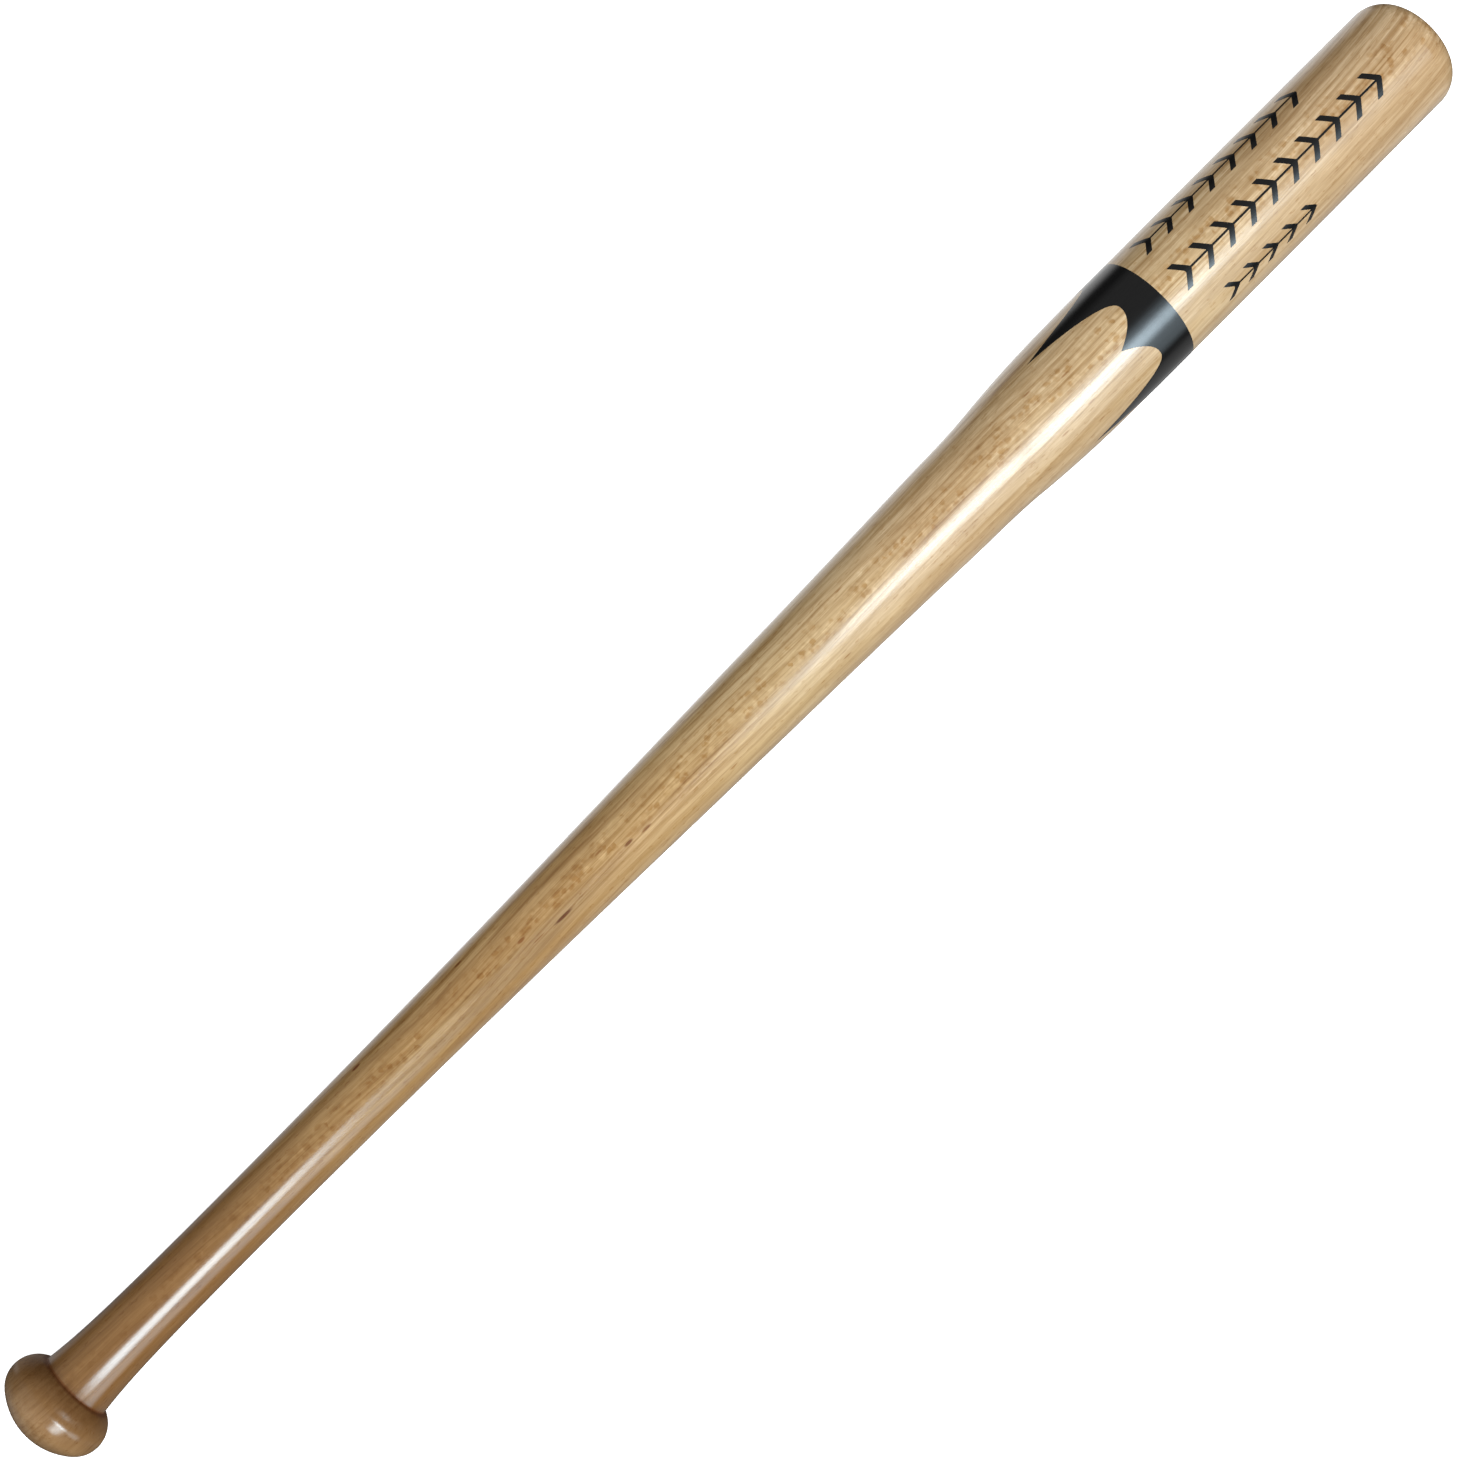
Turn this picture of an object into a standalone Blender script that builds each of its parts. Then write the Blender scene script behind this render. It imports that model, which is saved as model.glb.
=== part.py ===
"""Wooden baseball bat: one turned billet with generic printed marks on its barrel.

The bat's axis runs along +X, from the centre of the knob's flat end, which is the origin, to
the barrel's end. The print faces +Z. Distances are in metres, and s is always the distance
from the knob's end along the axis.
"""

import math

import bmesh
import bpy

# Whole bat
LENGTH = 0.864

# Knob: a flat, a dome and a rim arc in front, and a smaller arc behind down to the crease
KNOB_RADIUS = 0.0249
KNOB_FACE_RADIUS = 0.008
KNOB_DOME_RADIUS = 0.0316
KNOB_RIM_RADIUS = 0.0118
KNOB_BACK_RADIUS = 0.0122
CREASE_RADIUS = 0.0165

# Handle: thinnest in the grip, flaring into the knob
HANDLE_RADIUS = 0.0137
FLARE_LENGTH = 0.020

# Taper: distance from the knob's end and radius, as a turner's chart gives them
TAPER_CHART = (
    (0.110, HANDLE_RADIUS),
    (0.200, 0.0144),
    (0.300, 0.0161),
    (0.400, 0.0187),
    (0.500, 0.0211),
    (0.588, 0.0240),
)
TAPER_END_SLOPE = 0.036

# Barrel: a short swelling shoulder, then almost straight to a rounded end
SHOULDER_SLOPE = 0.10
SHOULDER_END = 0.645
SHOULDER_END_RADIUS = 0.0271
SHOULDER_END_SLOPE = 0.0075
BARREL_RADIUS = 0.0276
BARREL_FACE_RADIUS = 0.008
BARREL_DOME_RADIUS = 0.068
BARREL_RIM_RADIUS = 0.0135

# Facets of the turned body
BODY_STEPS = 28
FACET_ANGLE = 2 * math.pi / BODY_STEPS

# Printed films, drawn out larger than life in thickness so that they are solids
FILM_GAP = 0.0001
FILM_THICKNESS = 0.0001
FILM_STRIP = 0.010

# Ring band with tapered darts towards the handle, long and short by turns
BAND_START = 0.6675
BAND_END = 0.684
DART_LENGTHS = (0.045, 0.014)
DART_COUNT = 6
DART_POWER = 2.2
FIRST_DART_ANGLE = math.radians(50)
BAND_SEAM = 0.0005
BAND_POINTS = 72

# Rows of chevrons: (name, start, end, chevrons, angle off the top, height)
MARK_ROWS = (
    ("print_row_first", 0.694, 0.797, 8, math.radians(52), 0.0132),
    ("print_row_second", 0.694, 0.825, 10, math.radians(0), 0.0136),
    ("print_row_third", 0.708, 0.766, 5, math.radians(-47), 0.0094),
)
CHEVRON_STROKE = 0.0034
CHEVRON_SWEEP = 0.0050
RULE_WIDTH = 0.0010

# Colours (linear) and roughness
WOOD_COLOUR = (0.50, 0.33, 0.17, 1.0)
WOOD_ROUGHNESS = 0.25
INK_COLOUR = (0.012, 0.012, 0.014, 1.0)
INK_ROUGHNESS = 0.30


def clear_scene():
    for old in list(bpy.data.objects):
        bpy.data.objects.remove(old, do_unlink=True)


def collection(name):
    made = bpy.data.collections.new(name)
    bpy.context.scene.collection.children.link(made)
    return made


def material(name, colour, roughness):
    made = bpy.data.materials.new(name)
    made.use_nodes = True
    shader = made.node_tree.nodes["Principled BSDF"]
    shader.inputs["Base Color"].default_value = colour
    shader.inputs["Roughness"].default_value = roughness
    shader.inputs["Metallic"].default_value = 0.0
    return made


def spread(start, end, steps):
    """steps + 1 values from start to end."""
    return [start + (end - start) * i / steps for i in range(steps + 1)]


def hermite(a, b, s):
    """The cubic between two (distance, radius, slope) stations, at s."""
    span = b[0] - a[0]
    u = (s - a[0]) / span
    rise = 3 * u**2 - 2 * u**3
    lean = span * (a[2] * (u - 2 * u**2 + u**3) + b[2] * (u**3 - u**2))
    return a[1] * (1 - rise) + b[1] * rise + lean


def taper_stations():
    """The taper chart with the slope at each station, from its neighbours."""
    slopes = [0.0]
    for before, after in zip(TAPER_CHART, TAPER_CHART[2:]):
        slopes.append((after[1] - before[1]) / (after[0] - before[0]))
    slopes.append(TAPER_END_SLOPE)
    return [(s, r, slope) for (s, r), slope in zip(TAPER_CHART, slopes)]


def rounded_end(radius, rim, dome, face):
    """Depth at which the end reaches its full radius, and (depth, radius) points from the flat's
    edge over the dome and round the rim arc, which is tangent to the dome."""
    dome_centre = math.sqrt(dome**2 - face**2)
    rim_offset = radius - rim
    rim_depth = dome_centre - math.sqrt((dome - rim) ** 2 - rim_offset**2)
    join = math.asin(rim_offset / (dome - rim))
    points = []
    for angle in spread(math.asin(face / dome), join, 4)[:-1]:
        points.append((dome_centre - dome * math.cos(angle), dome * math.sin(angle)))
    for angle in spread(join, math.pi / 2, 7):
        points.append((rim_depth - rim * math.cos(angle), rim_offset + rim * math.sin(angle)))
    return rim_depth, points


def knob_back(rim_depth):
    """(s, radius) points behind the knob's widest ring, down to the crease."""
    crease_angle = math.acos(1 - (KNOB_RADIUS - CREASE_RADIUS) / KNOB_BACK_RADIUS)
    points = []
    for angle in spread(0, crease_angle, 6)[1:]:
        drop = KNOB_BACK_RADIUS * (1 - math.cos(angle))
        points.append((rim_depth + KNOB_BACK_RADIUS * math.sin(angle), KNOB_RADIUS - drop))
    return points


KNOB_DEPTH, KNOB_FRONT = rounded_end(
    KNOB_RADIUS, KNOB_RIM_RADIUS, KNOB_DOME_RADIUS, KNOB_FACE_RADIUS
)
BARREL_DEPTH, BARREL_TIP = rounded_end(
    BARREL_RADIUS, BARREL_RIM_RADIUS, BARREL_DOME_RADIUS, BARREL_FACE_RADIUS
)
KNOB_BACK = knob_back(KNOB_DEPTH)
CREASE = KNOB_BACK[-1][0]
BARREL_END = LENGTH - BARREL_DEPTH

STATIONS = taper_stations()
SHOULDER_START = STATIONS[-1][0]
SHOULDER = (
    (SHOULDER_START, STATIONS[-1][1], SHOULDER_SLOPE),
    (SHOULDER_END, SHOULDER_END_RADIUS, SHOULDER_END_SLOPE),
    (BARREL_END, BARREL_RADIUS, 0.0),
)


def shaft_radius(s):
    """Radius of the handle, taper and barrel, from the crease to the barrel's rounded end."""
    flare = (CREASE_RADIUS - HANDLE_RADIUS) * math.exp(-(s - CREASE) / FLARE_LENGTH)
    if s <= STATIONS[0][0]:
        return HANDLE_RADIUS + flare
    stations = STATIONS if s <= SHOULDER_START else SHOULDER
    for a, b in zip(stations, stations[1:]):
        if s <= b[0]:
            return hermite(a, b, s) + flare
    return BARREL_RADIUS


def shaft_profile():
    """(s, radius) points from the crease to the barrel's rounded end."""
    grip_end = STATIONS[0][0]
    distances = [CREASE + (grip_end - CREASE) * (i / 8) ** 1.5 for i in range(1, 9)]
    distances += spread(grip_end, SHOULDER_START, 12)[1:]
    distances += spread(SHOULDER_START, SHOULDER_END, 7)[1:]
    distances += spread(SHOULDER_END, BARREL_END, 4)[1:-1]
    return [(s, shaft_radius(s)) for s in distances]


def bat_profile():
    """(s, radius) points of the whole bat, from the barrel's end to the knob's end."""
    tip = [(LENGTH - depth, radius) for depth, radius in BARREL_TIP]
    knob_to_barrel = [(0.0, 0.0)] + KNOB_FRONT + KNOB_BACK + shaft_profile()
    return [(LENGTH, 0.0)] + tip + knob_to_barrel[::-1]


def bat_body(parts, wood):
    """The billet, turned about its own Z, then laid along +X with a facet facing down."""
    profile = bat_profile()
    mesh = bpy.data.meshes.new("bat_body")
    edges = [(i, i + 1) for i in range(len(profile) - 1)]
    mesh.from_pydata([(radius, 0.0, s) for s, radius in profile], edges, [])
    body = bpy.data.objects.new("bat_body", mesh)
    parts.objects.link(body)
    turn = body.modifiers.new("turn", "SCREW")
    turn.axis = "Z"
    turn.angle = 2 * math.pi
    turn.steps = BODY_STEPS
    turn.render_steps = BODY_STEPS
    turn.use_merge_vertices = True
    turn.merge_threshold = 0.00001
    turn.use_smooth_shade = True
    body.rotation_mode = "ZYX"
    body.rotation_euler = (0.0, math.pi / 2, FACET_ANGLE / 2)
    body.data.materials.append(wood)
    return body


def flat_film(outline):
    """A bmesh of the film laid flat: x is s, y is the arc from the top, z is through the film."""
    curve = bpy.data.curves.new("outline", "CURVE")
    curve.dimensions = "2D"
    curve.fill_mode = "BOTH"
    curve.extrude = FILM_THICKNESS / 2
    spline = curve.splines.new("POLY")
    spline.points.add(len(outline) - 1)
    for point, (s, arc) in zip(spline.points, outline):
        point.co = (s, arc, 0.0, 1.0)
    spline.use_cyclic_u = True
    drawn = bpy.data.objects.new("outline", curve)
    bpy.context.scene.collection.objects.link(drawn)
    evaluated = drawn.evaluated_get(bpy.context.evaluated_depsgraph_get())
    mesh = bpy.data.meshes.new_from_object(evaluated)
    flat = bmesh.new()
    flat.from_mesh(mesh)
    bmesh.ops.remove_doubles(flat, verts=flat.verts, dist=0.00001)
    bpy.data.objects.remove(drawn, do_unlink=True)
    bpy.data.meshes.remove(mesh)
    bpy.data.curves.remove(curve)
    return flat


def cut_into_strips(flat, axis, spacing, offset=0.0):
    """Cuts the flat film across x or y at offset and every spacing from it, so that it can bend."""
    places = [vert.co[axis] - offset for vert in flat.verts]
    first = math.ceil(min(places) / spacing + 0.001)
    last = math.floor(max(places) / spacing - 0.001)
    normal = [0.0, 0.0, 0.0]
    normal[axis] = 1.0
    for i in range(first, last + 1):
        point = [0.0, 0.0, 0.0]
        point[axis] = offset + i * spacing
        everything = flat.verts[:] + flat.edges[:] + flat.faces[:]
        bmesh.ops.bisect_plane(flat, geom=everything, plane_co=point, plane_no=normal)


def wrapped_film(name, outline, parts, ink):
    """A printed film: its flat outline bent round the barrel at the body's facet edges, just
    clear of the wood."""
    flat = flat_film(outline)
    facet = FACET_ANGLE * BARREL_RADIUS
    cut_into_strips(flat, 1, facet, facet / 2)
    cut_into_strips(flat, 0, FILM_STRIP)
    bmesh.ops.triangulate(flat, faces=flat.faces)
    for vert in flat.verts:
        s, arc, lift = vert.co
        angle = arc / BARREL_RADIUS
        radius = shaft_radius(s) + FILM_GAP + FILM_THICKNESS / 2 + lift
        vert.co = (s, radius * math.sin(angle), radius * math.cos(angle))
    mesh = bpy.data.meshes.new(name)
    flat.to_mesh(mesh)
    flat.free()
    mesh.shade_smooth()
    mesh.set_sharp_from_angle(angle=math.radians(30))
    film = bpy.data.objects.new(name, mesh)
    film.data.materials.append(ink)
    parts.objects.link(film)
    return film


def dart_reach(angle):
    """How far the band's handle-side edge reaches out, at an angle round the barrel."""
    pitch = 2 * math.pi / DART_COUNT
    turns = (angle - FIRST_DART_ANGLE) / pitch
    nearest = round(turns)
    from_tip = abs(turns - nearest) * 2
    return DART_LENGTHS[nearest % 2] * (1 - from_tip) ** DART_POWER


def band_outline():
    """The band laid flat, from one side of its seam at the back to the other."""
    half = math.pi * BARREL_RADIUS - BAND_SEAM / 2
    arcs = spread(-half, half, BAND_POINTS)
    outline = [(BAND_END, arcs[0]), (BAND_END, arcs[-1])]
    for arc in reversed(arcs):
        outline.append((BAND_START - dart_reach(arc / BARREL_RADIUS), arc))
    return outline


def row_side(start, end, count, side, height):
    """One side of a row of chevrons joined by a thin rule, from its start to its end."""
    pitch = (end - start - CHEVRON_STROKE - CHEVRON_SWEEP) / (count - 1)
    rule = side * RULE_WIDTH / 2
    edge = side * height / 2
    points = []
    for i in range(count):
        back = start + i * pitch
        tip = back + CHEVRON_SWEEP
        points.append((tip, rule))
        points.append((back, edge))
        points.append((back + CHEVRON_STROKE, edge))
        points.append((tip + CHEVRON_STROKE, rule))
    return points


def row_outline(start, end, count, angle, height):
    """A row of chevrons laid flat, centred at an angle round the barrel."""
    points = row_side(start, end, count, -1, height)
    points += row_side(start, end, count, 1, height)[::-1]
    return [(s, arc + angle * BARREL_RADIUS) for s, arc in points]


def main():
    clear_scene()
    parts = collection("baseball_bat")
    wood = material("varnished_beech", WOOD_COLOUR, WOOD_ROUGHNESS)
    ink = material("black_ink", INK_COLOUR, INK_ROUGHNESS)
    bat_body(parts, wood)
    wrapped_film("print_band", band_outline(), parts, ink)
    for name, start, end, count, angle, height in MARK_ROWS:
        wrapped_film(name, row_outline(start, end, count, angle, height), parts, ink)


main()
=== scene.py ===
"""Looks of the wooden baseball bat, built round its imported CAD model.

The bat's axis runs along +X from the knob's end, which is at the origin, and its print faces +Z.
Angles round the bat run from +Z towards +Y. Distances are in metres.
"""

import math

import bmesh
import bpy
import numpy as np
from mathutils import Matrix, Vector


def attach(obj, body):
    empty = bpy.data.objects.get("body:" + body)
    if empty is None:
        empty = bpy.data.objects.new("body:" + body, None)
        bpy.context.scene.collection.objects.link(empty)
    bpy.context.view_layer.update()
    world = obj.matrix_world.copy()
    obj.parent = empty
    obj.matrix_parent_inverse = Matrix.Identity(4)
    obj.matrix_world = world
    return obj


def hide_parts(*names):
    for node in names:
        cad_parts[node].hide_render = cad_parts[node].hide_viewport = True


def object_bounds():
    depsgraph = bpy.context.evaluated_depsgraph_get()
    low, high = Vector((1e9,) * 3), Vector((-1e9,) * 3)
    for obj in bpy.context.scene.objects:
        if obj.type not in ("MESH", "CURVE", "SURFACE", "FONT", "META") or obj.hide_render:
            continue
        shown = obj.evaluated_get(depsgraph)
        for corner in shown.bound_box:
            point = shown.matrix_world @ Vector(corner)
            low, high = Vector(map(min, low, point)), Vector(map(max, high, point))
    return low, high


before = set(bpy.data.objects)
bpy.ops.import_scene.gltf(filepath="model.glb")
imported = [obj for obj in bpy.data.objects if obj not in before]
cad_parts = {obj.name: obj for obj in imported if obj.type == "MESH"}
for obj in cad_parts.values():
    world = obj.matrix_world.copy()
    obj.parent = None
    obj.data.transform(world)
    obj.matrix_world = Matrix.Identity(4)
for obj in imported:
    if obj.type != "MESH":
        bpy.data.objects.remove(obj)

CAD_LOW, CAD_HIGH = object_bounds()

# Smooth turned body
BODY_SEGMENTS = 160
SAME_RING = 2e-5
SAME_POINT = 2e-6
ON_AXIS = 1e-7
SHORT_SPAN = 0.005
SHORT_SPAN_STEPS = 4
LONG_STEP = 0.004
EDGE_SOFTENING = 0.00025

# Printed film: ink on the varnish, far thinner than the CAD model's solids
INK_GAP = 0.00003
INK_THICKNESS = 0.00003
INK_STEP_ROUND = 0.00085
INK_STEP_ALONG = 0.0025
CUT_OFFSET = 0.137

# Band with tapered darts towards the handle, as in the CAD model
BAND_START = 0.6675
BAND_END = 0.684
DART_LENGTHS = (0.045, 0.014)
DART_COUNT = 6
DART_POWER = 2.2
FIRST_DART_ANGLE = math.radians(50)
BAND_POINTS = 360
BAND_STEPS_ALONG = 26

# Rows of chevrons: (node, start, end, chevrons, angle off the top, height), as in the CAD model
MARK_ROWS = (
    ("print_row_first", 0.694, 0.797, 8, math.radians(52), 0.0132),
    ("print_row_second", 0.694, 0.825, 10, math.radians(0), 0.0136),
    ("print_row_third", 0.708, 0.766, 5, math.radians(-47), 0.0094),
)
CHEVRON_STROKE = 0.0034
CHEVRON_SWEEP = 0.0050
RULE_WIDTH = 0.0010

# Camera: its own axis leans 6 degrees along the bat, which lies on the picture's diagonal
CAMERA_PLACE = (0.2977, -0.00015, 1.1430)
CAMERA_LENS = 65.0
CAMERA_SENSOR = 36.0
CAMERA_LEAN = math.radians(6.0)
BAT_DIAGONAL = math.radians(45.11)

# Wood: how far the grain drifts sideways along the bat, as (share of the length, drift)
GRAIN_DRIFT = (
    (0.0, 0.0),
    (0.2, 0.0065),
    (0.29, 0.008),
    (0.37, 0.0065),
    (0.8, 0.007),
    (0.93, 0.004),
    (1.0, -0.003),
)
DRIFT_SCALE = 40
DRIFT_CELLS_PER_METRE = (7, 22, 22)
DRIFT_WAVER = 0.006
PITH_DISTANCE = 0.16
RAY_ANGLE = math.radians(7)
RING_SPACING = 0.0031

# Sizes of the wood's markings in metres: (along the grain, across the growth rings, along the rings)
RING_WIDTH_CELL = (0.9, 0.0045, 0.06)
RING_WAVER_CELL = (0.045, 0.002, 0.01)
RING_STRENGTH_CELL = (0.12, 0.004, 0.03)
CLOUD_CELL = (0.075, 0.010, 0.02)
BROAD_CELL = (0.040, 0.0020, 0.0030)
FIBRE_CELL = (0.012, 0.00055, 0.0007)
CLUSTER_CELL = (0.020, 0.005, 0.01)
DARK_FLECK_CELL = (0.0036, 0.0029, 0.0040)
PALE_FLECK_CELL = (0.0040, 0.0030, 0.0040)
DASH_CELL = (0.0060, 0.0012, 0.0012)
STREAK_CELL = (0.017, 0.0030, 0.0030)
INK_GRAIN_CELL = (0.014, 0.0006, 0.0006)

# Tones that multiply the wood's colour: one, or a pair from low to high
CLOUD_TONES = ((0.89, 0.85, 0.79), (1.09, 1.11, 1.14))
BROAD_TONES = ((0.76, 0.68, 0.56), (1.12, 1.15, 1.20))
FIBRE_TONES = ((0.83, 0.79, 0.74), (1.10, 1.12, 1.14))
DARK_FLECK_TONE = (0.78, 0.66, 0.49)
PALE_FLECK_TONE = (1.15, 1.19, 1.26)
DASH_TONE = (0.84, 0.76, 0.66)
STREAK_TONE = (0.66, 0.52, 0.42)
INK_TONES = ((0.25, (0.0030, 0.0030, 0.0032)), (0.8, (0.0080, 0.0078, 0.0076)))
# Across one growth ring, up to its dark line
RING_TONES = (
    (0.0, 1.04),
    (0.45, 1.04),
    (0.78, (0.80, 0.72, 0.62)),
    (0.90, (0.70, 0.60, 0.46)),
    (1.0, 1.04),
)

# How flecks are stirred: noise scale, and shift along and across the grain
STIR_SCALE = 480.0
STIR_ALONG = 0.0030
STIR_ACROSS = 0.0022
PALE_FLECK_SHIFT = 0.0017

# Varnish over the wood and the ink
WOOD_VARNISH_IOR = 1.5
INK_VARNISH_IOR = 1.44
VARNISH_ROUGHNESS = 0.17
VARNISH_BUMP_STRENGTH = 0.25
VARNISH_BUMP_HEIGHT = 0.0001
ORANGE_PEEL_SCALE = 220.0

# Wood tone along the bat: (distance from the knob's end, linear colour). The dip down the knob's back to
# the crease is partly darker wood and partly painted shade.
WOOD_TONES_WITH_KNOB_SHADE = (
    (0.000, (0.345, 0.213, 0.104)),
    (0.010, (0.335, 0.204, 0.094)),
    # Painted shade, with darker wood: the knob's back darkens towards the crease
    (0.018, (0.232, 0.130, 0.054)),
    (0.024, (0.170, 0.088, 0.034)),
    (0.0265, (0.160, 0.080, 0.030)),
    (0.030, (0.220, 0.115, 0.040)),
    (0.036, (0.230, 0.120, 0.041)),
    (0.090, (0.255, 0.135, 0.047)),
    (0.160, (0.315, 0.186, 0.071)),
    (0.220, (0.400, 0.254, 0.106)),
    (0.300, (0.445, 0.288, 0.126)),
    (0.380, (0.485, 0.330, 0.153)),
    (0.450, (0.535, 0.393, 0.208)),
    (0.540, (0.595, 0.437, 0.250)),
    (0.700, (0.580, 0.436, 0.250)),
    (0.800, (0.560, 0.404, 0.232)),
    (0.864, (0.560, 0.404, 0.232)),
)
# Painted shade along the crease between the knob and the handle: its tone, reach and full-strength width
CREASE_SHADE_TONE = (0.78, 0.62, 0.58)
CREASE_SHADE_REACH = 0.0011
CREASE_SHADE_FULL = 0.0003

# Varnish worn thin on the back of the knob, down to the crease
WORN_START = 0.0160
WORN_FULL = 0.0190
WORN_LOSS = 0.85
WORN_END_FADE = 0.0012

# Dark dashes in the grain, and one broad, faint grey streak of painted shade along the handle:
# (distance from the knob's end, angle off the top, length, width, tone)
DASHES_AND_SHADE_STREAK = (
    (0.3100, math.radians(-22), 0.0110, 0.0016, (0.34, 0.18, 0.09)),
    (0.2960, math.radians(-19), 0.0070, 0.0008, (0.70, 0.55, 0.42)),
    (0.2900, math.radians(-2), 0.0045, 0.0016, (0.62, 0.42, 0.30)),
    # Painted shade: a long faint grey streak that dims the handle's lower side
    (0.2600, math.radians(-21), 0.1800, 0.0110, (0.86, 0.87, 0.88)),
    (0.3515, math.radians(-12), 0.0052, 0.0015, (0.40, 0.24, 0.14)),
    (0.3613, math.radians(-15), 0.0060, 0.0013, (0.50, 0.34, 0.22)),
    (0.2030, math.radians(50), 0.0050, 0.0016, (0.50, 0.30, 0.26)),
    (0.2640, math.radians(48), 0.0045, 0.0012, (0.62, 0.45, 0.36)),
)


# ---------------------------------------------------------------- body


def cad_profile():
    """(x, radius) of each ring of the turned CAD body, with a point in the middle of both end flats."""
    found = set()
    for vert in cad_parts["bat_body"].data.vertices:
        x, y, z = vert.co
        if math.hypot(y, z) > SAME_RING:
            found.add((round(x, 6), round(math.hypot(y, z), 6)))
    rings = []
    for point in sorted(found):
        if not rings or math.dist(point, rings[-1]) > SAME_RING:
            rings.append(point)
    return [(rings[0][0], 0.0)] + rings + [(rings[-1][0], 0.0)]


def turning(points, i):
    """How sharply the profile turns at point i."""
    a, b, c = (Vector(p) for p in points[i - 1 : i + 2])
    return (b - a).angle(c - b)


def smooth_run(points):
    """A smooth curve through the points, as many more points, without its last one."""
    points = np.array(points)
    spans = np.linalg.norm(np.diff(points, axis=0), axis=1)
    slopes = np.diff(points, axis=0) / spans[:, None]
    tangents = np.empty_like(points)
    tangents[0] = slopes[0]
    tangents[-1] = slopes[-1]
    if len(points) > 2:
        before, after = spans[:-1, None], spans[1:, None]
        middle = (slopes[:-1] * after + slopes[1:] * before) / (before + after)
        limit = 3 * np.minimum(abs(slopes[:-1]), abs(slopes[1:]))
        limit[slopes[:-1] * slopes[1:] < 0] = 0.0
        tangents[1:-1] = np.clip(middle, -limit, limit)
        tangents[0] = 1.5 * slopes[0] - 0.5 * tangents[1]
        tangents[-1] = 1.5 * slopes[-1] - 0.5 * tangents[-2]
    run = []
    for i, span in enumerate(spans):
        steps = SHORT_SPAN_STEPS if span < SHORT_SPAN else math.ceil(span / LONG_STEP)
        for k in range(steps):
            u = k / steps
            rise = 3 * u**2 - 2 * u**3
            lean = tangents[i] * (u - 2 * u**2 + u**3) + tangents[i + 1] * (u**3 - u**2)
            run.append(points[i] * (1 - rise) + points[i + 1] * rise + span * lean)
    return run


def softened(run, following):
    """The run with a point just after its first corner and just before the next one."""
    ahead = run[1] - run[0]
    first = run[0] + ahead * EDGE_SOFTENING / np.linalg.norm(ahead)
    back = run[-1] - following
    last = following + back * EDGE_SOFTENING / np.linalg.norm(back)
    return [run[0], first] + run[1:] + [last]


def body_profile():
    """The CAD profile drawn smoothly, with corners only at the crease and round the end flats,
    and the crease's distance from the knob's end."""
    rings = cad_profile()
    inner = range(2, len(rings) - 2)
    crease = max(inner, key=lambda i: turning(rings, i))
    corners = [0, 1, crease, len(rings) - 2, len(rings) - 1]
    profile = []
    for start, end in zip(corners, corners[1:]):
        run = smooth_run(rings[start : end + 1])
        profile += softened(run, np.array(rings[end]))
    profile.append(np.array(rings[-1]))
    return [(float(x), max(float(r), 0.0)) for x, r in profile], rings[crease][0]


def turned_body(profile):
    """The body as one closed mesh: a point at each end and a ring everywhere else."""
    made = bmesh.new()
    rings = []
    turns = [2 * math.pi * k / BODY_SEGMENTS for k in range(BODY_SEGMENTS)]
    for x, radius in profile:
        if radius < ON_AXIS:
            rings.append([made.verts.new((x, 0.0, 0.0))])
        else:
            ring = [(x, radius * math.sin(turn), radius * math.cos(turn)) for turn in turns]
            rings.append([made.verts.new(co) for co in ring])
    for ring, after in zip(rings, rings[1:]):
        for k in range(BODY_SEGMENTS):
            n = (k + 1) % BODY_SEGMENTS
            corners = [ring[k % len(ring)], after[k % len(after)]]
            corners += [after[n % len(after)], ring[n % len(ring)]]
            made.faces.new(dict.fromkeys(corners))
    bmesh.ops.recalc_face_normals(made, faces=made.faces)
    mesh = bpy.data.meshes.new("turned_body")
    made.to_mesh(mesh)
    made.free()
    mesh.shade_smooth()
    return mesh


PROFILE, CREASE = body_profile()
PROFILE_X = np.array([x for x, _ in PROFILE])
PROFILE_RADIUS = np.array([r for _, r in PROFILE])


def surface_radius(x):
    return float(np.interp(x, PROFILE_X, PROFILE_RADIUS))


# ---------------------------------------------------------------- print


def dart_reach(angle):
    """How far the band's handle-side edge reaches out, at an angle round the barrel."""
    pitch = 2 * math.pi / DART_COUNT
    turns = (angle - FIRST_DART_ANGLE) / pitch
    nearest = round(turns)
    from_tip = abs(turns - nearest) * 2
    return DART_LENGTHS[nearest % 2] * (1 - from_tip) ** DART_POWER


def film_point(x, angle, lift):
    """A point of the print, at a height in the film between 0 and 1."""
    radius = surface_radius(x) + INK_GAP + INK_THICKNESS * lift
    return (x, radius * math.sin(angle), radius * math.cos(angle))


def band_mesh():
    """The band with its darts, closed all the way round the barrel."""
    made = bmesh.new()
    rows = []
    for k in range(BAND_POINTS):
        angle = 2 * math.pi * k / BAND_POINTS
        reach = dart_reach(math.remainder(angle, 2 * math.pi))
        length = BAND_START - reach - BAND_END
        stations = [BAND_END + length * i / BAND_STEPS_ALONG for i in range(BAND_STEPS_ALONG + 1)]
        top = [made.verts.new(film_point(x, angle, 1)) for x in stations]
        bottom = [made.verts.new(film_point(x, angle, 0)) for x in reversed(stations)]
        rows.append(top + bottom)
    for row, after in zip(rows, rows[1:] + rows[:1]):
        for i in range(len(row)):
            n = (i + 1) % len(row)
            made.faces.new((row[i], row[n], after[n], after[i]))
    bmesh.ops.recalc_face_normals(made, faces=made.faces)
    mesh = bpy.data.meshes.new("band")
    made.to_mesh(mesh)
    made.free()
    return mesh


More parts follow.
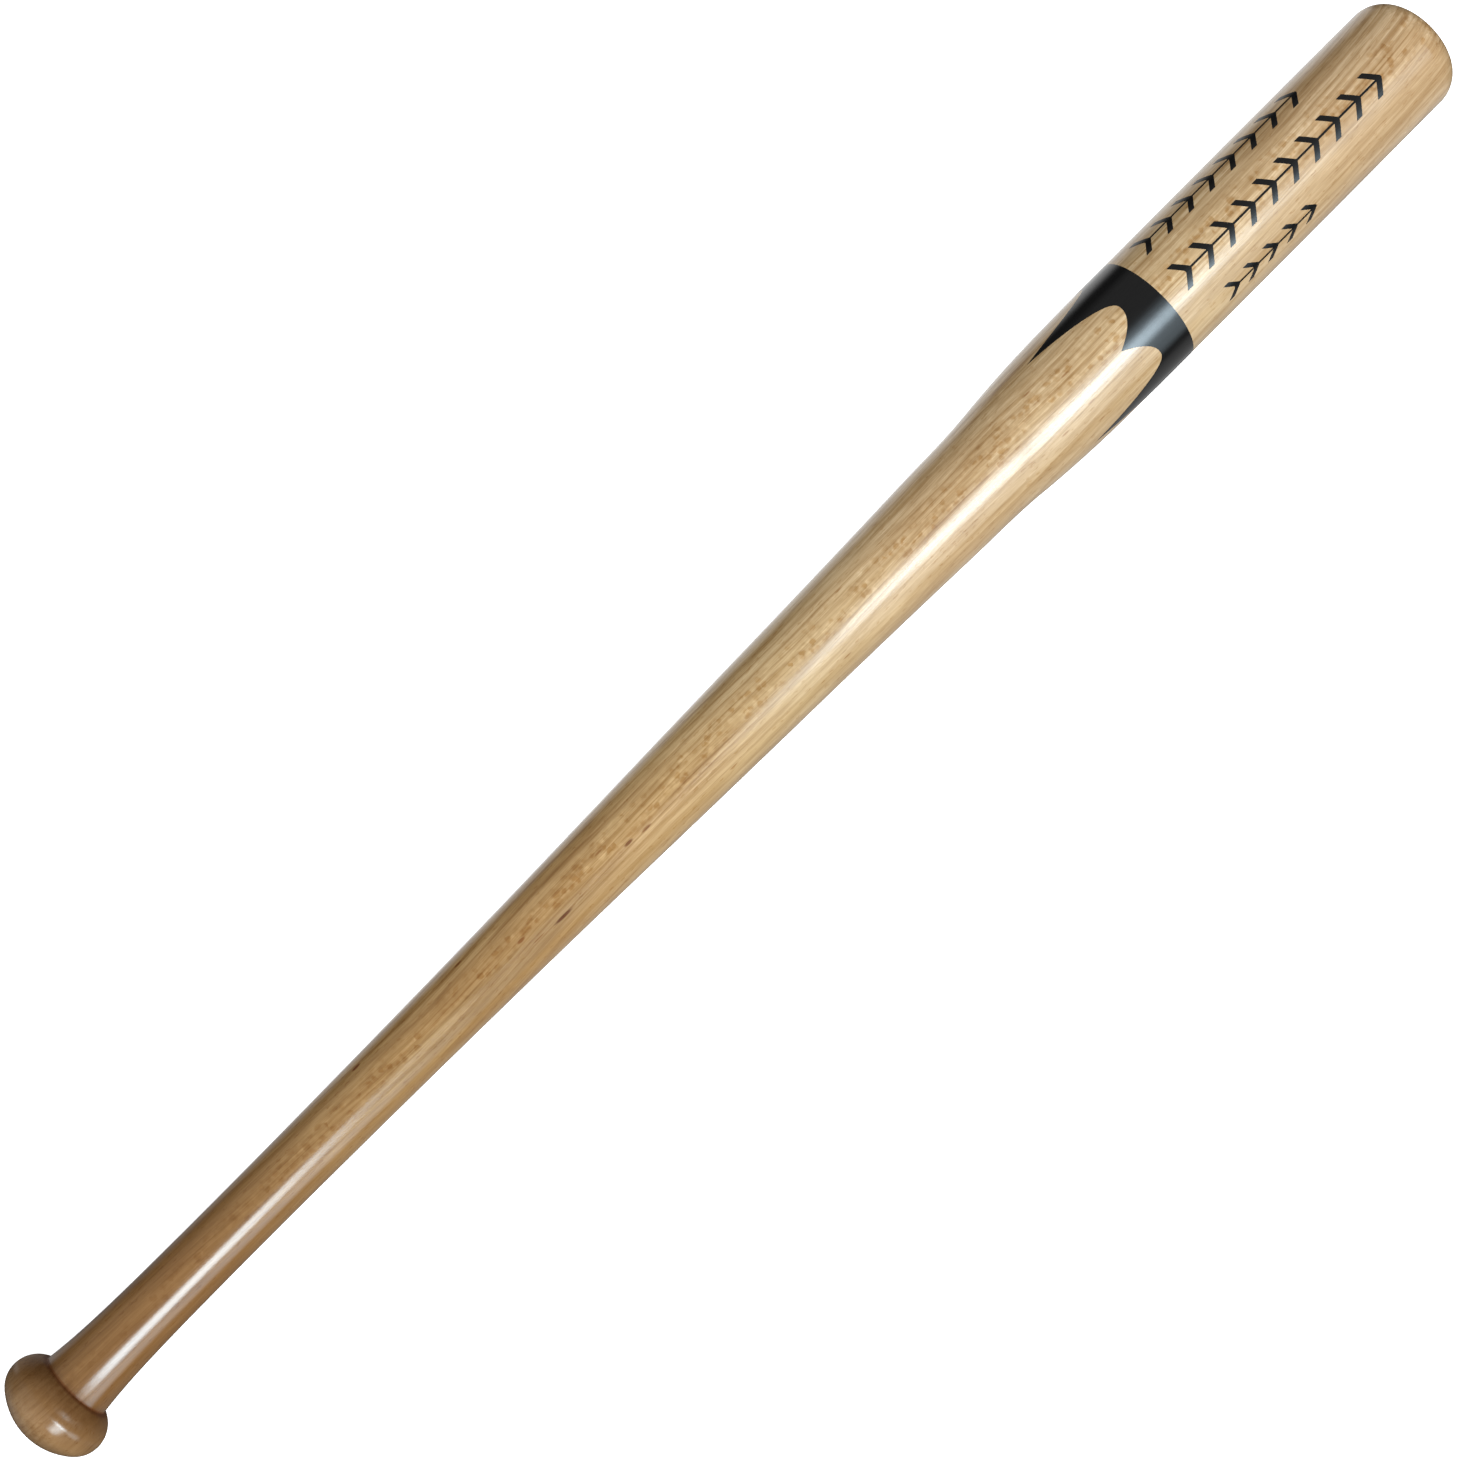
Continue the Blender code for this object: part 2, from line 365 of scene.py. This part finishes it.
def row_side(start, end, count, side, height):
    """One side of a row of chevrons joined by a thin rule, from its start to its end."""
    pitch = (end - start - CHEVRON_STROKE - CHEVRON_SWEEP) / (count - 1)
    rule = side * RULE_WIDTH / 2
    edge = side * height / 2
    points = []
    for i in range(count):
        back = start + i * pitch
        tip = back + CHEVRON_SWEEP
        points.append((tip, rule))
        points.append((back, edge))
        points.append((back + CHEVRON_STROKE, edge))
        points.append((tip + CHEVRON_STROKE, rule))
    return points


def row_outline(start, end, count, height):
    """The closed outline of a row: one side out and the other side back."""
    points = row_side(start, end, count, -1, height)
    points += row_side(start, end, count, 1, height)[::-1]
    return points


def flat_outline(outline):
    """The outline as a flat plate: x along the bat, y the arc round it, z through the film."""
    curve = bpy.data.curves.new("outline", "CURVE")
    curve.dimensions = "2D"
    curve.fill_mode = "BOTH"
    curve.extrude = 0.5
    spline = curve.splines.new("POLY")
    spline.points.add(len(outline) - 1)
    for point, (x, arc) in zip(spline.points, outline):
        point.co = (x, arc, 0.0, 1.0)
    spline.use_cyclic_u = True
    drawn = bpy.data.objects.new("outline", curve)
    bpy.context.scene.collection.objects.link(drawn)
    mesh = bpy.data.meshes.new_from_object(drawn.evaluated_get(bpy.context.evaluated_depsgraph_get()))
    flat = bmesh.new()
    flat.from_mesh(mesh)
    bmesh.ops.remove_doubles(flat, verts=flat.verts, dist=0.00001)
    bpy.data.objects.remove(drawn, do_unlink=True)
    bpy.data.meshes.remove(mesh)
    bpy.data.curves.remove(curve)
    return flat


def cut_into_strips(flat, axis, spacing):
    """Cuts the plate across an axis at even places, so that it can bend."""
    places = [vert.co[axis] for vert in flat.verts]
    normal = [0.0, 0.0, 0.0]
    normal[axis] = 1.0
    for i in range(math.ceil(min(places) / spacing), math.floor(max(places) / spacing) + 1):
        point = [0.0, 0.0, 0.0]
        point[axis] = (i + CUT_OFFSET) * spacing
        everything = flat.verts[:] + flat.edges[:] + flat.faces[:]
        bmesh.ops.bisect_plane(flat, geom=everything, plane_co=point, plane_no=normal)


def row_mesh(outline, angle):
    """A row of marks, wrapped on the barrel at an angle from the top."""
    flat = flat_outline(outline)
    cut_into_strips(flat, 1, INK_STEP_ROUND)
    cut_into_strips(flat, 0, INK_STEP_ALONG)
    bmesh.ops.remove_doubles(flat, verts=flat.verts, dist=SAME_POINT)
    bmesh.ops.dissolve_degenerate(flat, dist=SAME_POINT, edges=flat.edges)
    bmesh.ops.triangulate(flat, faces=flat.faces)
    barrel = float(PROFILE_RADIUS.max())
    for vert in flat.verts:
        x, arc, lift = vert.co
        vert.co = film_point(x, arc / barrel + angle, lift + 0.5)
    mesh = bpy.data.meshes.new("row")
    flat.to_mesh(mesh)
    flat.free()
    return mesh


# ---------------------------------------------------------------- nodes


def node(tree, kind, inputs=None, **settings):
    """A node with its settings and inputs; an input that is a socket is linked."""
    made = tree.nodes.new(kind)
    for key, value in settings.items():
        setattr(made, key, value)
    for key, value in (inputs or {}).items():
        if isinstance(value, bpy.types.NodeSocket):
            tree.links.new(value, made.inputs[key])
        else:
            made.inputs[key].default_value = value
    return made


def maths(tree, operation, *values):
    return node(tree, "ShaderNodeMath", dict(enumerate(values)), operation=operation).outputs[0]


def add(tree, *values):
    """The sum of two or more values."""
    total = values[0]
    for value in values[1:]:
        total = maths(tree, "ADD", total, value)
    return total


def times(tree, *values):
    """The product of two or more values."""
    total = values[0]
    for value in values[1:]:
        total = maths(tree, "MULTIPLY", total, value)
    return total


def ramp(tree, value, stops, interpolation="LINEAR"):
    """A colour ramp with (position, colour or grey) stops."""
    made = node(tree, "ShaderNodeValToRGB", {"Fac": value})
    made.color_ramp.interpolation = interpolation
    elements = made.color_ramp.elements
    while len(elements) < len(stops):
        elements.new(0.5)
    for element, (position, colour) in zip(elements, stops):
        if isinstance(colour, (int, float)):
            colour = (colour, colour, colour)
        element.position = position
        element.color = (*colour, 1.0)
    return made.outputs["Color"]


def span(tree, value, low, high, to_low=0.0, to_high=1.0):
    """Goes smoothly from one value to another as its input goes from low to high."""
    limits = {"Value": value, "From Min": low, "From Max": high, "To Min": to_low, "To Max": to_high}
    made = node(tree, "ShaderNodeMapRange", limits, interpolation_type="SMOOTHSTEP")
    return made.outputs["Result"]


def multiply_colour(tree, factor, colour, tone):
    """The colour times a tone, by a factor from 0 to 1."""
    made = node(tree, "ShaderNodeMix", data_type="RGBA", blend_type="MULTIPLY")
    factor_input, first_input, second_input = 0, 6, 7
    for index, value in ((factor_input, factor), (first_input, colour), (second_input, tone)):
        if isinstance(value, bpy.types.NodeSocket):
            tree.links.new(value, made.inputs[index])
        elif index == factor_input:
            made.inputs[index].default_value = value
        else:
            made.inputs[index].default_value = (*value, 1.0)
    return made.outputs[2]


def combine(tree, x, y, z):
    return node(tree, "ShaderNodeCombineXYZ", {"X": x, "Y": y, "Z": z}).outputs["Vector"]


def separate(tree, vector):
    return node(tree, "ShaderNodeSeparateXYZ", {"Vector": vector}).outputs


def noise(tree, vector, scale, detail=2.0, roughness=0.5):
    settings = {"Vector": vector, "Scale": scale, "Detail": detail, "Roughness": roughness}
    return node(tree, "ShaderNodeTexNoise", settings).outputs["Fac"]


def new_material(name):
    made = bpy.data.materials.new(name)
    made.use_nodes = True
    return made, made.node_tree, made.node_tree.nodes["Principled BSDF"]


# ---------------------------------------------------------------- wood


def drift_curve(tree, x):
    """How far the grain has drifted sideways at a place along the bat."""
    made = node(tree, "ShaderNodeFloatCurve", {"Value": maths(tree, "DIVIDE", x, CAD_HIGH.x)})
    curve = made.mapping.curves[0]
    while len(curve.points) < len(GRAIN_DRIFT):
        curve.points.new(0.5, 0.5)
    for point, (place, drift) in zip(curve.points, GRAIN_DRIFT):
        point.location = (place, 0.5 + drift * DRIFT_SCALE)
        point.handle_type = "AUTO"
    made.mapping.update()
    return times(tree, maths(tree, "SUBTRACT", made.outputs[0], 0.5), 1 / DRIFT_SCALE)


def in_ray_frame(tree, place):
    """X, Y and Z of a place, turned so that the wood's rays run along Z."""
    settings = {"Vector": place, "Angle": RAY_ANGLE}
    turned = node(tree, "ShaderNodeVectorRotate", settings, rotation_type="X_AXIS")
    return separate(tree, turned.outputs[0])


def distance(tree, a, b):
    """The length of a step of a in one direction and b at right angles to it."""
    return maths(tree, "SQRT", add(tree, maths(tree, "POWER", a, 2.0), maths(tree, "POWER", b, 2.0)))


def wood_coordinates(tree):
    """x along the bat, depth across the growth rings from the pith, and side along them."""
    place = node(tree, "ShaderNodeTexCoord").outputs["Object"]
    parts = in_ray_frame(tree, place)
    x, side = parts["X"], parts["Z"]
    across = add(tree, parts["Y"], drift_curve(tree, x))
    cells = (times(tree, value, rate) for value, rate in zip((x, across, side), DRIFT_CELLS_PER_METRE))
    slow = noise(tree, combine(tree, *cells), 1.0, 1.0)
    across = add(tree, across, times(tree, maths(tree, "SUBTRACT", slow, 0.5), DRIFT_WAVER))
    depth = distance(tree, add(tree, across, PITH_DISTANCE), side)
    return place, x, depth, side


def scaled(tree, x, depth, side, cell):
    """Wood coordinates counted in cells of a size in metres along, across and through."""
    return combine(tree, *(times(tree, value, 1 / size) for value, size in zip((x, depth, side), cell)))


def growth_lines(tree, x, depth, side):
    """0 to 1, rising through each growth ring to its thin dark line."""
    widths = noise(tree, scaled(tree, x, depth, side, RING_WIDTH_CELL), 1.0, 1.0)
    waver = noise(tree, scaled(tree, x, depth, side, RING_WAVER_CELL), 1.0, 2.0)
    rings = times(tree, depth, 1 / RING_SPACING)
    rings = add(tree, rings, times(tree, widths, 2.2), times(tree, waver, 0.35))
    return maths(tree, "FRACT", rings)


def flecks(tree, x, depth, side, cell, size, share):
    """Lens-shaped spots scattered through the wood: strength 0 to 1."""
    settings = {"Vector": scaled(tree, x, depth, side, cell), "Scale": 1.0, "Randomness": 1.0}
    cells = node(tree, "ShaderNodeTexVoronoi", settings)
    chance = node(tree, "ShaderNodeSeparateColor", {"Color": cells.outputs["Color"]}).outputs["Red"]
    present = span(tree, chance, 1 - share, 1 - share * 0.4)
    spot = span(tree, cells.outputs["Distance"], size, size * 0.35)
    return times(tree, present, spot)


def tinted(tree, colour, factor, tones, strength=1.0):
    """The colour times a tone that goes from one to the other as the factor rises."""
    low, high = tones
    return multiply_colour(tree, strength, colour, ramp(tree, factor, ((0.32, low), (0.68, high))))


def side_share(tree, parts):
    """How far a point lies towards the +Y side, from -1 to 1, whatever its radius."""
    reach = distance(tree, parts["Y"], parts["Z"])
    return maths(tree, "DIVIDE", parts["Y"], maths(tree, "MAXIMUM", reach, 0.001))


def radial_face(tree, place):
    """1 where the surface runs along the rays, at the top and the bottom, and 0 at the sides."""
    ratio = maths(tree, "ABSOLUTE", side_share(tree, in_ray_frame(tree, place)))
    return span(tree, ratio, 0.42, 0.14)


def grain_strength(tree, place, x):
    """How much the grain shows: less on the handle, and less round on the -Y side."""
    along = span(tree, x, 0.06, 0.26, 0.5, 0.95)
    around = span(tree, side_share(tree, separate(tree, place)), -0.3, -0.65, 1.0, 0.6)
    return times(tree, along, around)


def wood_colour(tree, place, x, depth, side, fibres):
    """The beech's colour, with its growth lines, streaks and fibres, and painted shade down the knob's
    back.
    """
    shows = grain_strength(tree, place, x)
    tones = [(at / CAD_HIGH.x, tone) for at, tone in WOOD_TONES_WITH_KNOB_SHADE]
    colour = ramp(tree, maths(tree, "DIVIDE", x, CAD_HIGH.x), tones)
    cloud = noise(tree, scaled(tree, x, depth, side, CLOUD_CELL), 1.0, 2.0)
    colour = tinted(tree, colour, cloud, CLOUD_TONES)
    line = ramp(tree, growth_lines(tree, x, depth, side), RING_TONES)
    strength = noise(tree, scaled(tree, x, depth, side, RING_STRENGTH_CELL), 1.0, 1.0)
    strength = span(tree, strength, 0.3, 0.7, 0.30, 1.0)
    colour = multiply_colour(tree, times(tree, strength, shows), colour, line)
    broad = noise(tree, scaled(tree, x, depth, side, BROAD_CELL), 1.0, 3.0, 0.6)
    colour = tinted(tree, colour, broad, BROAD_TONES, shows)
    return tinted(tree, colour, fibres, FIBRE_TONES, shows)


def ray_flecks(tree, place, x, depth, side):
    """Dark and pale ray flecks: in clusters on the radial faces, thin dashes elsewhere."""
    face = radial_face(tree, place)
    stir = node(tree, "ShaderNodeTexNoise", {"Vector": place, "Scale": STIR_SCALE, "Detail": 1.0})
    stir = node(tree, "ShaderNodeSeparateColor", {"Color": stir.outputs["Color"]}).outputs
    x = add(tree, x, times(tree, stir["Red"], STIR_ALONG))
    depth = add(tree, depth, times(tree, stir["Green"], STIR_ACROSS))
    cluster = span(tree, noise(tree, scaled(tree, x, depth, side, CLUSTER_CELL), 1.0, 1.0), 0.30, 0.52)
    share = times(tree, face, times(tree, cluster, span(tree, x, 0.05, 0.24, 0.4, 1.0)))
    dark = times(tree, flecks(tree, x, depth, side, DARK_FLECK_CELL, 0.66, 0.9), share)
    shifted = add(tree, x, PALE_FLECK_SHIFT)
    pale = times(tree, flecks(tree, shifted, depth, side, PALE_FLECK_CELL, 0.62, 0.85), share)
    dashes = flecks(tree, x, depth, side, DASH_CELL, 0.40, 0.55)
    return dark, pale, times(tree, dashes, maths(tree, "SUBTRACT", 1.0, face))


def near_spot(tree, place, x, angle, length, width):
    """1 in the middle of a long spot on the surface, falling to 0 at its edge."""
    radius = surface_radius(x)
    centre = (x, radius * math.sin(angle), radius * math.cos(angle))
    offset = node(tree, "ShaderNodeVectorMath", {0: place, 1: centre}, operation="SUBTRACT").outputs[0]
    halves = {0: offset, 1: (2 / length, 2 / width, 2 / width)}
    shares = node(tree, "ShaderNodeVectorMath", halves, operation="MULTIPLY").outputs[0]
    away = node(tree, "ShaderNodeVectorMath", {0: shares}, operation="LENGTH").outputs["Value"]
    return span(tree, away, 1.25, 0.55)


def marked_wood(tree, place, x, depth, side, fibres):
    """The wood's colour with its flecks, dashes, a streak of painted shade and painted shade in the crease,
    and the dark flecks.
    """
    colour = wood_colour(tree, place, x, depth, side, fibres)
    dark, pale, dashes = ray_flecks(tree, place, x, depth, side)
    streaks = flecks(tree, x, depth, side, STREAK_CELL, 0.20, 0.12)
    marks = [(dark, DARK_FLECK_TONE), (pale, PALE_FLECK_TONE), (dashes, DASH_TONE), (streaks, STREAK_TONE)]
    # The dashes, and the streak of painted shade along the handle
    marks += [(near_spot(tree, place, *spot), tone) for *spot, tone in DASHES_AND_SHADE_STREAK]
    # Painted shade darkening the crease between the knob and the handle
    from_crease = maths(tree, "ABSOLUTE", maths(tree, "SUBTRACT", x, CREASE))
    marks.append((span(tree, from_crease, CREASE_SHADE_REACH, CREASE_SHADE_FULL), CREASE_SHADE_TONE))
    for strength, tone in marks:
        colour = multiply_colour(tree, strength, colour, tone)
    return colour, dark


def wood_material():
    made, tree, shader = new_material("varnished_beech")
    place, x, depth, side = wood_coordinates(tree)
    fibres = noise(tree, scaled(tree, x, depth, side, FIBRE_CELL), 1.0, 3.0, 0.6)
    colour, dark = marked_wood(tree, place, x, depth, side, fibres)
    tree.links.new(colour, shader.inputs["Base Color"])
    tree.links.new(span(tree, fibres, 0.3, 0.7, 0.42, 0.54), shader.inputs["Roughness"])
    varnish(tree, shader, place, fibres, times(tree, dark, 0.3), WOOD_VARNISH_IOR)
    worn = span(tree, x, WORN_START, WORN_FULL)
    worn = times(tree, worn, span(tree, x, CREASE + WORN_END_FADE, CREASE))
    left = maths(tree, "SUBTRACT", 1.0, times(tree, worn, WORN_LOSS))
    tree.links.new(left, shader.inputs["Coat Weight"])
    return made


def varnish(tree, shader, place, grain, dips, ior):
    """A clear gloss coat that follows the grain a little and has a slight orange peel."""
    shader.inputs["Specular IOR Level"].default_value = 0.0
    shader.inputs["Coat Weight"].default_value = 1.0
    shader.inputs["Coat Roughness"].default_value = VARNISH_ROUGHNESS
    shader.inputs["Coat IOR"].default_value = ior
    peel = noise(tree, place, ORANGE_PEEL_SCALE, 2.0)
    height = add(tree, times(tree, peel, 0.6), times(tree, grain, 0.5))
    if dips is not None:
        height = maths(tree, "SUBTRACT", height, dips)
    settings = {"Height": height, "Strength": VARNISH_BUMP_STRENGTH, "Distance": VARNISH_BUMP_HEIGHT}
    bump = node(tree, "ShaderNodeBump", settings).outputs[0]
    tree.links.new(bump, shader.inputs["Normal"])
    tree.links.new(bump, shader.inputs["Coat Normal"])


def ink_material():
    made, tree, shader = new_material("black_ink")
    place = node(tree, "ShaderNodeTexCoord").outputs["Object"]
    parts = separate(tree, place)
    grain = noise(tree, scaled(tree, parts["X"], parts["Y"], parts["Z"], INK_GRAIN_CELL), 1.0, 3.0, 0.6)
    tree.links.new(ramp(tree, grain, INK_TONES), shader.inputs["Base Color"])
    tree.links.new(span(tree, grain, 0.3, 0.7, 0.36, 0.5), shader.inputs["Roughness"])
    varnish(tree, shader, place, grain, None, INK_VARNISH_IOR)
    return made


# ---------------------------------------------------------------- studio

# Softboxes that the varnish reflects, beside and above the bat on its -Y side:
# (name, angle off the top, half width, soft edge from, soft edge to, haze, radiance,
#  stops: place along x and share of the radiance)
LIGHT_DISTANCE = 1.5
LIGHT_COLOUR = (0.81, 1.0, 1.12)
SOFTBOXES = (
    ("softbox_knob", math.radians(34), 0.52, 0.02, 0.50, 0.0, 14.0,
     ((-1.90, 0.0), (-1.45, 0.4), (-1.00, 0.75), (-0.60, 0.80), (-0.34, 0.90), (-0.20, 0.50),
      (-0.08, 0.0))),
    ("softbox_handle", math.radians(33.5), 1.1, 0.18, 0.50, 0.08, 19.5,
     ((-0.27, 0.0), (-0.19, 1.05), (-0.09, 1.0), (-0.05, 0.55), (-0.01, 0.14), (0.04, 0.0))),
    ("softbox_barrel", math.radians(31), 1.1, 0.06, 0.48, 0.33, 17.5,
     ((0.44, 0.0), (0.58, 0.2), (0.72, 0.95), (0.95, 1.05), (1.10, 1.1), (1.16, 0.9), (1.24, 0.42),
      (1.40, 0.16), (1.62, 0.14), (1.80, 0.0))),
    ("softbox_side", math.radians(66), 0.62, 0.08, 0.60, 0.0, 4.0,
     ((-0.45, 0.0), (-0.25, 0.75), (0.00, 1.0), (0.12, 0.25), (0.25, 0.1), (0.50, 0.15), (0.70, 0.5),
      (1.20, 0.55), (1.45, 0.0))),
)
BRIGHTEST_SHARE = 1.5

# Lamps that light the wood itself and aren't reflected: (name, angle off the top, softness, irradiance)
LAMPS = (
    ("key", math.radians(37), math.radians(30), 2.3),
    ("fill", math.radians(-5), math.radians(120), 1.1),
)

# Light from all round: above on either side, and the glows below the horizon
WORLD_LEFT = 0.30
WORLD_RIGHT = 0.24
WORLD_LOW_DARK = 0.05
WORLD_LOW_BRIGHT = 1.25
WORLD_LOW_SOFT = 0.45
WORLD_KNOB_END = 0.25

FLOOR_REACH = 8.0
FLOOR_CLEARANCE = 0.0001
FLOOR_GLOW = 0.85
BACKDROP_RADIUS = 7.5


def add_camera():
    lean = Vector((math.cos(CAMERA_LEAN), 0.0, math.sin(CAMERA_LEAN)))
    back = Vector((-math.sin(CAMERA_LEAN), 0.0, math.cos(CAMERA_LEAN)))
    side = Vector((0.0, 1.0, 0.0))
    right = lean * math.cos(BAT_DIAGONAL) - side * math.sin(BAT_DIAGONAL)
    up = lean * math.sin(BAT_DIAGONAL) + side * math.cos(BAT_DIAGONAL)
    data = bpy.data.cameras.new("camera")
    data.lens = CAMERA_LENS
    data.sensor_width = CAMERA_SENSOR
    camera = bpy.data.objects.new("camera", data)
    turn = Matrix((right, up, back)).transposed().to_4x4()
    camera.matrix_world = Matrix.Translation(CAMERA_PLACE) @ turn
    bpy.context.scene.collection.objects.link(camera)
    bpy.context.scene.camera = camera


def light_profile(data, low, high, half_width, core, edge, haze_share, stops):
    """Makes the softbox bright in the middle and soft towards its edges."""
    data.use_nodes = True
    tree = data.node_tree
    parts = separate(tree, node(tree, "ShaderNodeNewGeometry").outputs["Parametric"])
    length = high - low
    shares = [((at - low) / length, share / BRIGHTEST_SHARE) for at, share in stops]
    along = ramp(tree, parts["X"], shares, "EASE")
    away = times(tree, maths(tree, "SUBTRACT", parts["Y"], 0.5), 2 * half_width)
    away = maths(tree, "ABSOLUTE", away)
    strength = span(tree, away, edge, core, 0.0, 1.0 - haze_share)
    haze = span(tree, away, half_width, core, 0.0, haze_share)
    strength = times(tree, add(tree, strength, haze), times(tree, along, BRIGHTEST_SHARE))
    tree.links.new(strength, tree.nodes["Emission"].inputs["Strength"])


def facing_bat(angle, distance_out, x):
    """A lamp's place and turn, at an angle off the top towards -Y, facing the bat's axis at x."""
    back = Vector((0.0, -math.sin(angle), math.cos(angle)))
    along = Vector((1.0, 0.0, 0.0))
    turn = Matrix((along, back.cross(along), back)).transposed().to_4x4()
    return Matrix.Translation(back * distance_out + along * x) @ turn


def add_lamp(name, data, place):
    lamp = bpy.data.objects.new(name, data)
    lamp.matrix_world = place
    lamp.visible_camera = False
    bpy.context.scene.collection.objects.link(lamp)
    return lamp


def add_softboxes():
    for name, angle, half_width, core, edge, haze, radiance, stops in SOFTBOXES:
        low, high = stops[0][0], stops[-1][0]
        data = bpy.data.lights.new(name, "AREA")
        data.shape = "RECTANGLE"
        data.size = high - low
        data.size_y = 2 * half_width
        data.color = LIGHT_COLOUR
        data.energy = radiance * math.pi * data.size * data.size_y
        light_profile(data, low, high, half_width, core, edge, haze, stops)
        lamp = add_lamp(name, data, facing_bat(angle, LIGHT_DISTANCE, (low + high) / 2))
        lamp.visible_diffuse = False


def add_lamps():
    for name, angle, softness, irradiance in LAMPS:
        data = bpy.data.lights.new(name, "SUN")
        data.angle = softness
        data.energy = irradiance
        lamp = add_lamp(name, data, facing_bat(angle, LIGHT_DISTANCE, CAD_HIGH.x / 2))
        lamp.visible_glossy = False


def add_world():
    """Even light from above, a glow below the horizon on both sides, and one past the knob."""
    world = bpy.data.worlds.new("studio")
    world.use_nodes = True
    tree = world.node_tree
    parts = separate(tree, node(tree, "ShaderNodeTexCoord").outputs["Generated"])
    x, y, z = parts["X"], parts["Y"], parts["Z"]
    above = times(tree, span(tree, y, -0.8, 0.8, WORLD_RIGHT, WORLD_LEFT), span(tree, z, -0.10, 0.35))
    lengthways = times(tree, span(tree, x, -0.26, 0.0), span(tree, x, 0.62, 0.45))
    bright = times(tree, span(tree, y, 0.0, 0.4), lengthways, span(tree, z, -0.24, -0.62), WORLD_LOW_BRIGHT)
    soft = times(tree, span(tree, y, 0.0, -0.4), span(tree, z, 0.0, -0.3))
    soft = times(tree, soft, times(tree, lengthways, WORLD_LOW_SOFT))
    past_knob = times(tree, span(tree, x, -0.45, -0.80), span(tree, y, -0.1, 0.3), WORLD_KNOB_END)
    total = add(tree, add(tree, above, bright), add(tree, soft, WORLD_LOW_DARK), past_knob)
    tree.links.new(total, tree.nodes["Background"].inputs["Color"])
    bpy.context.scene.world = world


def pale_material(name, tone, glow):
    made, _, shader = new_material(name)
    shader.inputs["Base Color"].default_value = (tone, tone, tone, 1.0)
    shader.inputs["Emission Color"].default_value = (1.0, 1.0, 1.0, 1.0)
    shader.inputs["Emission Strength"].default_value = glow
    return made, shader


def add_stage(name, mesh, material, height):
    """A piece of the studio, centred under the bat, which the bat doesn't reflect."""
    mesh.materials.append(material)
    made = bpy.data.objects.new(name, mesh)
    made.location = ((CAD_LOW.x + CAD_HIGH.x) / 2, 0.0, height)
    made.visible_glossy = False
    made.visible_diffuse = False
    bpy.context.scene.collection.objects.link(made)
    return made


def add_floor():
    """A plain pale floor that touches the lowest point of the bat."""
    corners = ((-1, -1), (1, -1), (1, 1), (-1, 1))
    mesh = bpy.data.meshes.new("floor")
    mesh.from_pydata([(x * FLOOR_REACH, y * FLOOR_REACH, 0.0) for x, y in corners], [], [(0, 1, 2, 3)])
    material, shader = pale_material("pale_floor", 0.85, FLOOR_GLOW)
    shader.inputs["Roughness"].default_value = 0.9
    add_stage("floor", mesh, material, -float(PROFILE_RADIUS.max()) - FLOOR_CLEARANCE)


def add_backdrop():
    """A pale backdrop all round and overhead, which only the camera sees."""
    made = bmesh.new()
    bmesh.ops.create_uvsphere(made, u_segments=64, v_segments=32, radius=BACKDROP_RADIUS)
    mesh = bpy.data.meshes.new("backdrop")
    made.to_mesh(mesh)
    made.free()
    material, shader = pale_material("pale_backdrop", 0.0, 1.0)
    shader.inputs["Specular IOR Level"].default_value = 0.0
    backdrop = add_stage("backdrop", mesh, material, 0.0)
    backdrop.visible_transmission = False
    backdrop.visible_volume_scatter = False
    backdrop.visible_shadow = False


# ---------------------------------------------------------------- assembly


def add_piece(name, mesh, material, cad_node):
    mesh.name = name
    mesh.materials.append(material)
    piece = bpy.data.objects.new(name, mesh)
    bpy.context.scene.collection.objects.link(piece)
    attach(piece, "root")
    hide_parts(cad_node)


wood = wood_material()
ink = ink_material()
add_piece("turned_billet", turned_body(PROFILE), wood, "bat_body")
add_piece("printed_band", band_mesh(), ink, "print_band")
for row_name, row_start, row_end, row_count, row_angle, row_height in MARK_ROWS:
    row = row_mesh(row_outline(row_start, row_end, row_count, row_height), row_angle)
    add_piece(row_name.replace("print_", "printed_"), row, ink, row_name)

add_camera()
add_softboxes()
add_lamps()
add_world()
add_floor()
add_backdrop()
bpy.context.scene.view_settings.view_transform = "Standard"
